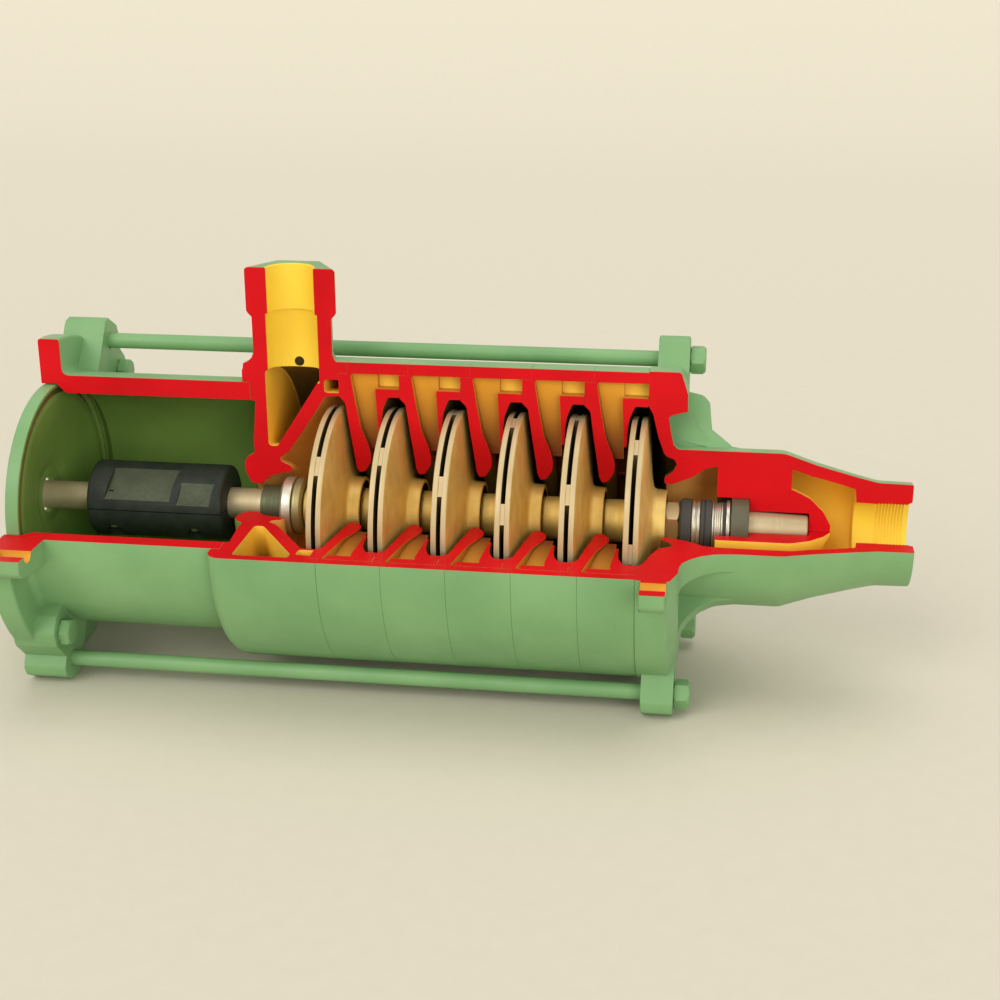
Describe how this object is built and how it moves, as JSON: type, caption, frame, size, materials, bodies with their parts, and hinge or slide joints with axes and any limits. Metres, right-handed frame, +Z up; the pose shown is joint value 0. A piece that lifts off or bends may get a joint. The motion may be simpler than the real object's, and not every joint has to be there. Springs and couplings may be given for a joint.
{
  "type": "cutaway multistage centrifugal pump",
  "caption": "Horizontal multistage pump shown as a cutaway: closed bronze impellers on one shaft in green ring casings, with motor lantern, top discharge nozzle and axial suction port",
  "frame": {"origin": "on the floor, under the middle of the pump's box", "axes": "+X along the shaft towards the suction port, +Z up, +Y towards the back; the cut quarter faces -Y and +Z"},
  "size_m": [0.667, 0.284, 0.31],
  "materials": {
    "green_paint": "smooth machine paint over cast iron, red on the cut faces",
    "bronze": "cast and turned bronze",
    "brass_nut": "machined",
    "bright_steel": "turned and ground",
    "black_rubber": "matt",
    "dark_iron": "blackened"
  },
  "bodies": {
    "casing": {"lantern_flange": "green_paint", "lantern_tube": "green_paint", "motor_end_shield": "green_paint", "discharge_casing": "green_paint", "stage_ring_1": "green_paint", "stage_ring_2": "green_paint", "stage_ring_3": "green_paint", "stage_ring_4": "green_paint", "stage_ring_5": "green_paint", "diffuser_1": "green_paint", "diffuser_2": "green_paint", "diffuser_3": "green_paint", "diffuser_4": "green_paint", "diffuser_5": "green_paint", "suction_casing": "green_paint", "tie_bolt_1": "green_paint", "tie_bolt_2": "green_paint", "tie_bolt_3": "green_paint", "tie_bolt_4": "green_paint", "motor_bolt_1": "green_paint", "motor_bolt_2": "green_paint", "motor_bolt_3": "green_paint", "bearing_bush": "dark_iron"},
    "rotor": {"pump_shaft": "bright_steel", "motor_shaft": "bright_steel", "impeller_1": "bronze", "impeller_2": "bronze", "impeller_3": "bronze", "impeller_4": "bronze", "impeller_5": "bronze", "impeller_6": "bronze", "seal_sleeve": "dark_iron", "seal_face_ring": "bright_steel", "seal_seat_ring": "bright_steel", "lock_nut": "brass_nut", "spacer_ring": "black_rubber", "retaining_ring": "bright_steel", "seal_bellows": "black_rubber", "seal_spring_collar": "bright_steel", "seal_ring": "black_rubber", "coupling_upper": "dark_iron", "coupling_lower": "dark_iron", "coupling_screw_1": "bright_steel", "coupling_screw_2": "bright_steel", "coupling_screw_3": "bright_steel", "coupling_screw_4": "bright_steel"}
  },
  "joints": [
    {"name": "rotor_spin", "type": "hinge", "parent": "casing", "child": "rotor", "pos_m": [0, 0, 0.1255], "axis": [1, 0, 0], "continuous": true}
  ]
}
